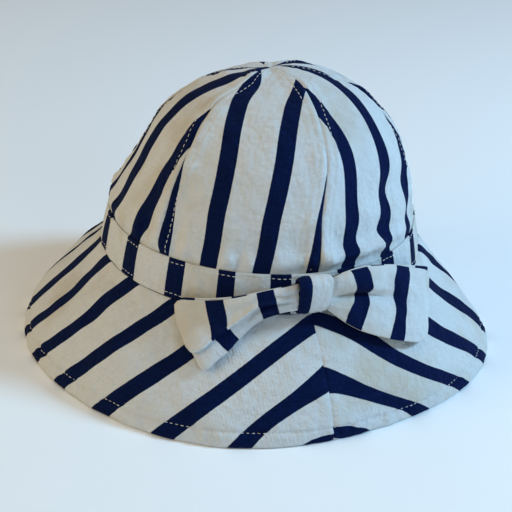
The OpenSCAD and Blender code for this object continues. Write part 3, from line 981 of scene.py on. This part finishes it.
def catmull(x, xs, P):
    """Smooth curve through P (n x ...) at parameters xs, read at x."""
    m = np.zeros_like(P)
    d = np.diff(P, axis=0) / np.diff(xs).reshape((-1,) + (1,) * (P.ndim - 1))
    m[1:-1] = (d[1:] + d[:-1]) / 2
    m[0], m[-1] = d[0], d[-1]
    i = np.clip(np.searchsorted(xs, x, side="right") - 1, 0, len(xs) - 2)
    h = (xs[i + 1] - xs[i]); t = ((x - xs[i]) / h)
    sh = (-1,) + (1,) * (P.ndim - 1)
    t, h = t.reshape(sh), h.reshape(sh)
    return (P[i] * (2 * t ** 3 - 3 * t ** 2 + 1) + m[i] * h * (t ** 3 - 2 * t ** 2 + t)
            + P[i + 1] * (-2 * t ** 3 + 3 * t ** 2) + m[i + 1] * h * (t ** 3 - t ** 2))


def outward(P):
    """Unit direction away from the hat near the front of the band."""
    n = P * np.array([1, 1, 0.0])
    n = n / np.linalg.norm(n, axis=-1, keepdims=True)
    n[..., 2] = .32
    return n / np.linalg.norm(n, axis=-1, keepdims=True)


def stripe_u(u, navy):
    """Cloth coordinate with a navy stripe at each listed span."""
    k = [navy[0][0] - 12.4, (navy[0][0] + navy[0][1]) / 2, (navy[1][0] + navy[1][1]) / 2, navy[1][1] + 16.7 - 4.1 + 8.2]
    c0, c1 = k[1], k[2]
    return (u - c0) * PITCH / (c1 - c0)


def make_loop(name, G, us, navy, crease, side, mat):
    """One bow loop: a strip doubled back on itself from the knot to a soft fold and back."""
    G = np.array(G, float)
    W = 37.0
    U = us[-1]
    # rows across the strip, close together at both folded edges and at the crease
    v = np.concatenate([[0, .004, .012, .026], np.linspace(.05, .44, 10), [.468, .486, .496, .5, .504, .514, .532], np.linspace(.56, .95, 10), [.974, .988, .996, 1]])
    u = np.concatenate([np.linspace(0, U - 3.0, 46), U - 3.0 + 3.0 * np.linspace(0, 1, 6)[1:]])
    C = catmull(u, us, G)                                  # path columns x 5 rows
    rows = np.array([0, .25, .5, .75, 1])
    whole = catmull(v, rows, C.transpose(1, 0, 2)).transpose(1, 0, 2)
    top = catmull(np.minimum(v, .5), rows[:3], C[:, :3].transpose(1, 0, 2)).transpose(1, 0, 2)
    bot = catmull(np.maximum(v, .5), rows[2:], C[:, 2:].transpose(1, 0, 2)).transpose(1, 0, 2)
    split = np.where(v[None, :, None] <= .5, top, bot)
    k = crease(u)[:, None, None]
    F = whole * (1 - k) + split * k
    F[:, [0, -1]] = split[:, [0, -1]]
    O = outward(F)
    Uu, Vv = np.meshgrid(u, v * W, indexing="ij")
    # the upper panel of the left loop laps over the lower one
    if side == "left":
        lap = smooth01(u, 2, 14)[:, None] * (1 - .25 * smooth01(u, 44, 58)[:, None])
        q = (v[None, :] - .5) * W
        lip = 2.7 * np.exp(-np.clip(-q, 0, None) / 5.0) * (q <= .05) - 1.3 * np.exp(-np.clip(q, 0, None) / 3.5) * (q > .05)
        F = F + O * (lap * lip)[..., None]
        F[:, :, 2] += np.where((q > -1.2) & (q <= .05), -.55, 0) * lap
    else:
        q = (v[None, :] - .5) * W
        dip = 2.0 * np.exp(-((u - 32) / 8) ** 2)[:, None] * np.exp(-((q - .5) / 4.5) ** 2)
        val = (smooth01(u, 0, 6) * (1 - smooth01(u, 20, 36)))[:, None] * (2.2 * np.exp(-(q / 2.6) ** 2) - .7 * np.exp(-((np.abs(q) - 5) / 2.6) ** 2))
        F = F - O * (dip + val)[..., None]
    # gathers fanning from the knot, and small creases
    gath = np.exp(-u / 7.0)[:, None] * .30 * np.cos(2 * np.pi * (v[None, :] * 3.6 + .2)) + np.exp(-u / 12.0)[:, None] * .14 * np.cos(2 * np.pi * (v[None, :] * 6.3 + .1 + .02 * u[:, None]))
    if side == "left":                                     # pinched harder, so it keeps deeper gathers
        gath = gath + (.80 * smooth01(u, 3, 10) * np.exp(-u / 22.0))[:, None] * np.cos(2 * np.pi * (v[None, :] * 3.6 + .2)) * np.sin(np.pi * v[None, :]) ** .5
    soft = .26 * loop_wave(Uu, Vv) + .42 * loop_wave2(Uu, Vv)
    edge = .28 * np.exp(-(np.minimum(v, 1 - v)[None, :] * W - 3.2) ** 2 / 3.0)
    F = F + O * (gath + soft + edge)[..., None]
    # back layer: behind the front one, held off the hat
    gap = 1.5 + 3.6 * smooth01(u, 4, 26) - 2.5 * smooth01(u, 34, U - 1)
    B = F - O * (gap[:, None] * (1 - .35 * (np.abs(v - .5) * 2) ** 3)[None, :] * .94)[..., None] - O * (.9 * soft)[..., None]
    if side == "right":
        # its top corner shows past the front layer
        B = B + np.array([1.7, 0.2, 1.4]) * (smooth01(u, 30, 56)[:, None] * (1 - smooth01(v, .0, .42))[None, :])[..., None]
    else:
        B = B + np.array([0, 0, 1.0]) * (smooth01(u, 20, 50)[:, None] * np.ones_like(v)[None, :])[..., None]
    B = clear_hat(B, 1.3)
    # the fold joins the layers in a half circle
    mid, half = (F[-1] + B[-1]) / 2, (F[-1] - B[-1]) / 2
    along = F[-1] - F[-3]; along = along / np.linalg.norm(along, axis=-1, keepdims=True)
    rad = np.linalg.norm(half, axis=-1, keepdims=True)
    arc = [mid + half * math.cos(a) + along * rad * math.sin(a) * .85 for a in np.linspace(0, math.pi, 12)[1:-1]]
    path = np.concatenate([F, np.array(arc), B[::-1]], 0)
    du = np.pi * float(rad.mean())
    uu = np.concatenate([u, U + du * np.linspace(0, 1, 12)[1:-1], U + du + (U - u[::-1])])
    N = normals(path)
    sgn = 1.0 if (N[8, 12] @ outward(path[8:9, 12:13])[0, 0]) > 0 else -1.0
    N = N * sgn
    d = np.minimum(v, 1 - v) * W
    t = .62 * np.sqrt(np.clip(1 - (1 - np.clip(d / .9, 0, 1)) ** 2, .015, 1))
    a, b = path + N * t[None, :, None], path - N * t[None, :, None]
    soft_end = np.where((uu > U) & (uu <= U + du), U + (uu - U) * .3, np.where(uu > U + du, uu - du * .7, uu))
    su = stripe_u(soft_end, navy)
    uv = np.stack([su[:, None] + 0 * v[None, :], uu[:, None] * 0 + v[None, :] * W], -1)
    o = shell(name, a, b, uv, mat) if sgn > 0 else shell(name, b, a, uv, mat)
    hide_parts(name)
    return o


def hat_radius(theta, z):
    """Outer radius of the hat at a height near the front: band above its lower edge, brim below."""
    zb = np.clip(z, 0, BAND_Z)
    s = np.linspace(0, 1, 61)
    out = np.where(z > BAND_Z, BAND_R - LEAN * (z - BAND_Z) / BAND_H, 0.0)
    r, zz, _, _ = brim_pt(theta[..., None], s, 0, False)
    idx = np.argmin(np.abs(zz - zb[..., None]), axis=-1)
    rr = np.take_along_axis(r, idx[..., None], -1)[..., 0]
    return np.where(z > BAND_Z, out, rr)


def clear_hat(P, gap):
    """Moves points straight out so that none is nearer the hat than gap."""
    th = np.degrees(np.arctan2(P[..., 0], -P[..., 1]))
    r = np.hypot(P[..., 0], P[..., 1])
    z = P[..., 2]
    tilt = np.where(z < BAND_Z, 1.45, 1.03)
    need = hat_radius(th, z) + gap * tilt + .62
    k = np.maximum(r, need) / r
    Q = P.copy()
    Q[..., 0] *= k; Q[..., 1] *= k
    return Q


def make_knot(mat):
    """The strip wrapped round the middle: a ring of cloth with folded edges and small gathers."""
    W, n, m = 15.6, 88, 26
    cx, cy, cz = -4.75, -85.3, 60.7
    a = np.linspace(0, 2 * np.pi, n + 1)[:-1]
    hy, hz = 4.1, 9.0
    p = 2.6
    cy_, sz_ = np.cos(a), np.sin(a)
    sy = np.sign(cy_) * np.abs(cy_) ** (2 / p) * hy
    szz = np.sign(sz_) * np.abs(sz_) ** (2 / p) * hz
    x = np.concatenate([[-1, -.985, -.95, -.88], np.linspace(-.78, .78, m - 8), [.88, .95, .985, 1]]) * W / 2
    t = x / (W / 2)
    front = smooth01(-np.cos(a) * -1, -.2, .6)
    rows = []
    A, X = np.meshgrid(a, x, indexing="ij")
    T = X / (W / 2)
    # the edges draw in, and the face is a little fuller at its middle
    full = 1 + .0 * T
    inw = -.50 * np.abs(T) ** 6 + .30 * (1 - T ** 2)
    lean = .55 * np.sin(A) * T
    g1 = .14 * np.cos(2 * np.pi * (T * 1.9 + .18 * np.sin(A + .4))) * (.35 + .65 * np.abs(np.sin(A)) ** 2)
    low = np.exp(-((A - 1.5 * np.pi) / .75) ** 2)
    g2 = .30 * low * np.cos(2 * np.pi * (T * 3.1 + .2)) * smooth01(T, -.3, .5)
    g3 = .09 * np.cos(2 * np.pi * (T * 4.3 + .07 * A)) * (.3 + .7 * low)
    off = inw + g1 + g2 + g3
    ny, nz = np.cos(A), np.sin(A)
    nl = np.hypot(ny / hy, nz / hz); ny, nz = (ny / hy) / nl, (nz / hz) / nl
    wide = 1 + .05 * np.sin(A) - .05 * (np.cos(A) * 0)
    Y = sy[:, None] + off * ny
    Z = szz[:, None] + off * nz
    Xo = X * wide + lean * 0
    k = .62
    d = (W / 2 - np.abs(X))
    th = k * np.sqrt(np.clip(1 - (1 - np.clip(d / .9, 0, 1)) ** 2, .02, 1))
    def place(s):
        y, z = Y + s * th * ny, Z + s * th * nz
        q = math.radians(-11.0)
        yy = y * math.cos(q) - z * math.sin(q)
        zz = y * math.sin(q) + z * math.cos(q)
        return np.stack([cx + Xo, cy - yy, cz + zz * 1.0], -1)
    out, inn = place(1), place(-1)
    P = np.concatenate([out, inn[:, ::-1]], 1)
    per = np.concatenate([[0], np.cumsum(np.linalg.norm(np.diff(np.concatenate([out[:, m // 2], out[:1, m // 2]]), axis=0), axis=1))])
    # one navy stripe lies along the left of the strip
    stripe = X[0] + 6.4
    su = np.concatenate([stripe, stripe[::-1], stripe[:1]])
    uv = np.stack([su[None, :] + 0 * per[:, None], per[:, None] + 0 * su[None, :]], -1)
    o = tube_grid("bow_knot", P, uv, mat)
    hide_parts("bow_knot")
    return o


def make_middle(mat):
    """The gathered middle of the bow inside the knot, joining the two loops' pinched ends."""
    n, m = 60, 12
    a = np.linspace(0, 2 * np.pi, n + 1)[:-1]
    x = np.linspace(-12.0, 3.8, m)
    A, X = np.meshgrid(a, x, indexing="ij")
    t = (X + 4.1) / 7.9
    zc = 60.4 + .2 * X
    fold = 1 + .10 * np.cos(7 * A + .6 * X)
    y = 1.7 * np.cos(A) * (1.0 + .25 * t ** 2) * fold
    z = 5.4 * np.sin(A) * (1.0 + .10 * t ** 2) * fold
    P = np.stack([X, -85.2 - y - .16 * z, zc + z], -1)
    per = np.linspace(0, 26, n + 1)
    uv = np.stack([np.concatenate([x])[None, :] + 12.4 + 0 * per[:, None], per[:, None] + 0 * x[None, :]], -1)
    V = P.reshape(-1, 3)
    F, U = [], []
    for i in range(n):
        for j in range(m - 1):
            F.append([i * m + j, ((i + 1) % n) * m + j, ((i + 1) % n) * m + j + 1, i * m + j + 1])
            U += [uv[i, j], uv[i + 1, j], uv[i + 1, j + 1], uv[i, j + 1]]
    F.append([i * m for i in range(n - 1, -1, -1)]); U += [uv[i, 0] for i in range(n - 1, -1, -1)]
    F.append([i * m + m - 1 for i in range(n)]); U += [uv[i, m - 1] for i in range(n)]
    o = link("bow_middle", V, F, np.array(U), mat)
    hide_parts("bow_middle")
    return o


def make_tack(mat):
    """Short stitches that hold the back of the knot to the band."""
    paths = []
    for x in (-6.8, -.8):
        for z in (55.3, 63.3):
            y = -(BAND_R - LEAN * (z - BAND_Z) / BAND_H) - .35
            q = np.linspace(-1.6, 1.6, 9)
            a = (x + q) / 80.0
            P = np.stack([x + q, y * np.cos(a) / np.cos(x / 80.0) + 0 * q, z + .25 * q], 1)
            N = np.stack([0 * q, -1 + 0 * q, .19 + 0 * q], 1)
            paths.append((P, N))
    o = stitches("bow_tack_stitches", paths, mat, length=2.4, radius=.24, pitch=3.0, seed=9)
    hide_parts("bow_tack_stitches")
    return o


# ---------------------------------------------------------------- build
camera()
stripe = cloth("striped_cotton", True)
line_c = cloth("lining_cotton", False, .00042, (.80, .785, .745), .35)
thread, felt, tape = thread_mat(), felt_mat(), label_mat()

made = {}
made.update(make_gores(stripe, line_c))
made.update(make_brim(stripe, line_c, felt))
made.update(make_band(stripe, line_c, tape))
made.update(make_stitches(thread))
made["bow_left_loop"] = make_loop("bow_left_loop", BOW_L, BOW_UL, NAVY_UL, lambda u: 1 + 0 * u, "left", stripe)
made["bow_right_loop"] = make_loop("bow_right_loop", BOW_R, BOW_UR, NAVY_UR, lambda u: 1 - smooth01(u, 18, 36), "right", stripe)
made["bow_knot"] = make_knot(stripe)
made["bow_middle"] = make_middle(stripe)
made["bow_tack_stitches"] = make_tack(thread)

for n, o in made.items():
    if n not in ("bow_left_loop", "bow_right_loop"):
        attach(o, ROOT)
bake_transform(made["bow_left_loop"])
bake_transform(made["bow_right_loop"])



# floor
fv = [(-9000, -9000, 0), (9000, -9000, 0), (9000, 9000, 0), (-9000, 9000, 0)]
floor = link("floor", fv, [(0, 1, 2, 3)], None, floor_mat(), smooth=False)

# ---------------------------------------------------------------- light
world = bpy.data.worlds.new("studio")
world.use_nodes = True
world.node_tree.nodes["Background"].inputs["Color"].default_value = (.97, .96, .93, 1)
world.node_tree.nodes["Background"].inputs["Strength"].default_value = .20
bpy.context.scene.world = world
lamp("key", (1.05, -.42, .92), (0, 0, .06), .32, 17.6, (.37, .68, 1.0))
lamp("fill_left", (-1.2, -.15, .60), (0, 0, .06), .8, 5.6, (1.0, .76, .36))
lamp("front", (.38, -1.4, .70), (0, 0, .06), .8, 4.4, (.40, .72, 1.0))
sun = bpy.data.lights.new("sky", "SUN")
sun.energy, sun.angle, sun.color = .54, math.radians(60), (1.0, .97, .90)
sky = bpy.data.objects.new("sky", sun)
sky.rotation_euler = (math.radians(-14), math.radians(-10), 0)
bpy.context.scene.collection.objects.link(sky)
bpy.context.scene.view_settings.view_transform = "Standard"
